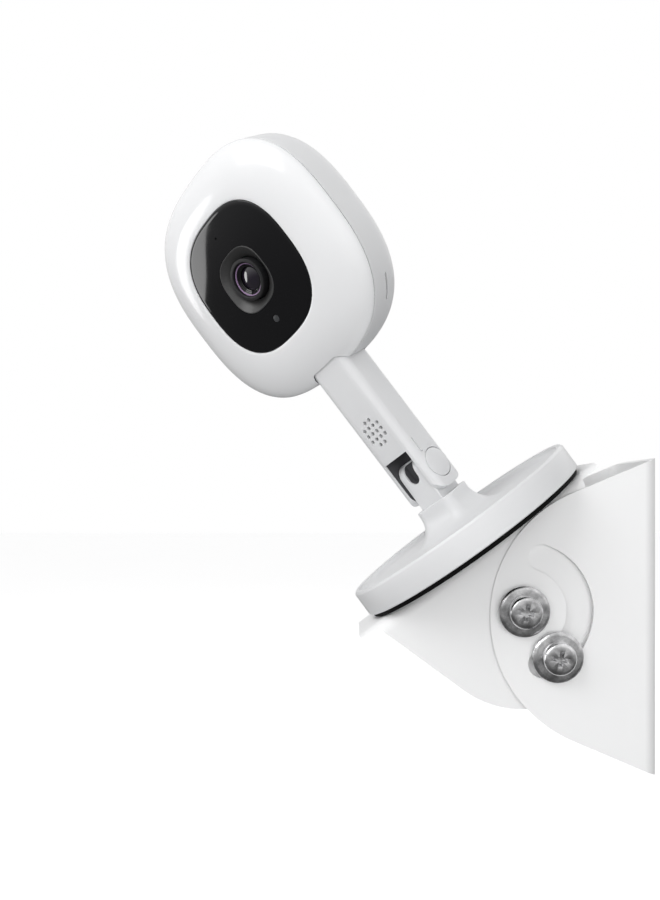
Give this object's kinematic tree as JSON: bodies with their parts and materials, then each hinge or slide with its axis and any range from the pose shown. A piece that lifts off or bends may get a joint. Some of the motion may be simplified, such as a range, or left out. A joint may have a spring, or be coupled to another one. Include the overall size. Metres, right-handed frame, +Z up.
{
  "type": "baby monitor camera",
  "caption": "Rounded-square white baby monitor camera on a tilting stem and round weighted stand, fixed to a two-piece adjustable steel wall bracket.",
  "frame": {"origin": "centre of the back face of the wall bracket's plate, on the wall", "axes": "+Z up the wall, +Y into the wall, +X along the bracket's pivot"},
  "size_m": [0.096, 0.1829, 0.2311],
  "materials": {
    "white_powder_coat": "satin powder coat with a fine texture",
    "chrome": "bright plated, lightly turned",
    "zinc_steel": "plain bright zinc",
    "grey_satin_plastic": "fine satin moulding",
    "white_gloss_plastic": "polished moulding",
    "black_gloss_plastic": "polished, lets infrared through",
    "black_matte_plastic": "fine matte",
    "black_rubber": "matte",
    "light_diffuser": "milky, translucent",
    "coated_glass": "polished with a violet coating",
    "grey_window": "smoked",
    "circuit_board": "green solder mask",
    "aluminium": "blasted"
  },
  "bodies": {
    "wall_mount": {"wall_bracket": "white_powder_coat"},
    "tilting_stand": {"tilt_bracket": "white_powder_coat", "pivot_screw_right": "chrome", "pivot_washer_right": "chrome", "pivot_nut_right": "zinc_steel", "pivot_screw_left": "chrome", "pivot_washer_left": "chrome", "pivot_nut_left": "zinc_steel", "slot_screw_right": "chrome", "slot_washer_right": "chrome", "slot_nut_right": "zinc_steel", "slot_screw_left": "chrome", "slot_washer_left": "chrome", "slot_nut_left": "zinc_steel", "base_shell": "grey_satin_plastic", "ballast_plate": "zinc_steel", "base_cover": "black_matte_plastic", "rubber_pad": "black_rubber", "base_screw_1": "zinc_steel", "base_screw_2": "zinc_steel", "base_screw_3": "zinc_steel"},
    "camera": {"hinge_pin": "zinc_steel", "hinge_cap_right": "grey_satin_plastic", "hinge_wave_washer_right": "zinc_steel", "hinge_cap_left": "grey_satin_plastic", "hinge_wave_washer_left": "zinc_steel", "stem_shell": "grey_satin_plastic", "speaker_gasket": "black_rubber", "speaker": "black_matte_plastic", "usb_socket": "zinc_steel", "wire_harness": "black_matte_plastic", "front_shell": "white_gloss_plastic", "rear_shell": "grey_satin_plastic", "night_light_strip": "light_diffuser", "face_plate": "black_gloss_plastic", "lens_bezel": "black_gloss_plastic", "lens_barrel": "black_matte_plastic", "lens_ring": "black_matte_plastic", "lens_front_glass": "coated_glass", "lens_inner_glass": "coated_glass", "ir_board": "circuit_board", "ir_led_1": "coated_glass", "ir_led_2": "coated_glass", "ir_led_3": "coated_glass", "ir_led_4": "coated_glass", "light_sensor_window": "grey_window", "microphone": "zinc_steel", "image_sensor": "coated_glass", "image_sensor_board": "circuit_board", "inner_frame": "black_matte_plastic", "main_board": "circuit_board", "processor": "black_matte_plastic", "heat_sink": "aluminium", "wifi_antenna": "circuit_board", "night_light_board": "circuit_board", "neck_bracket": "zinc_steel", "head_screw_1": "zinc_steel", "head_screw_2": "zinc_steel", "head_screw_3": "zinc_steel", "head_screw_4": "zinc_steel"}
  },
  "joints": [
    {"name": "bracket_tilt", "type": "hinge", "parent": "wall_mount", "child": "tilting_stand", "pos_m": [0, -0.0476, 0.0021], "axis": [1, 0, 0], "range_deg": [0, 100]},
    {"name": "camera_tilt", "type": "hinge", "parent": "tilting_stand", "child": "camera", "pos_m": [0, -0.08183, 0.05208], "axis": [0.6884, 0.5846, 0.4294], "range_deg": [-30, 60]}
  ]
}
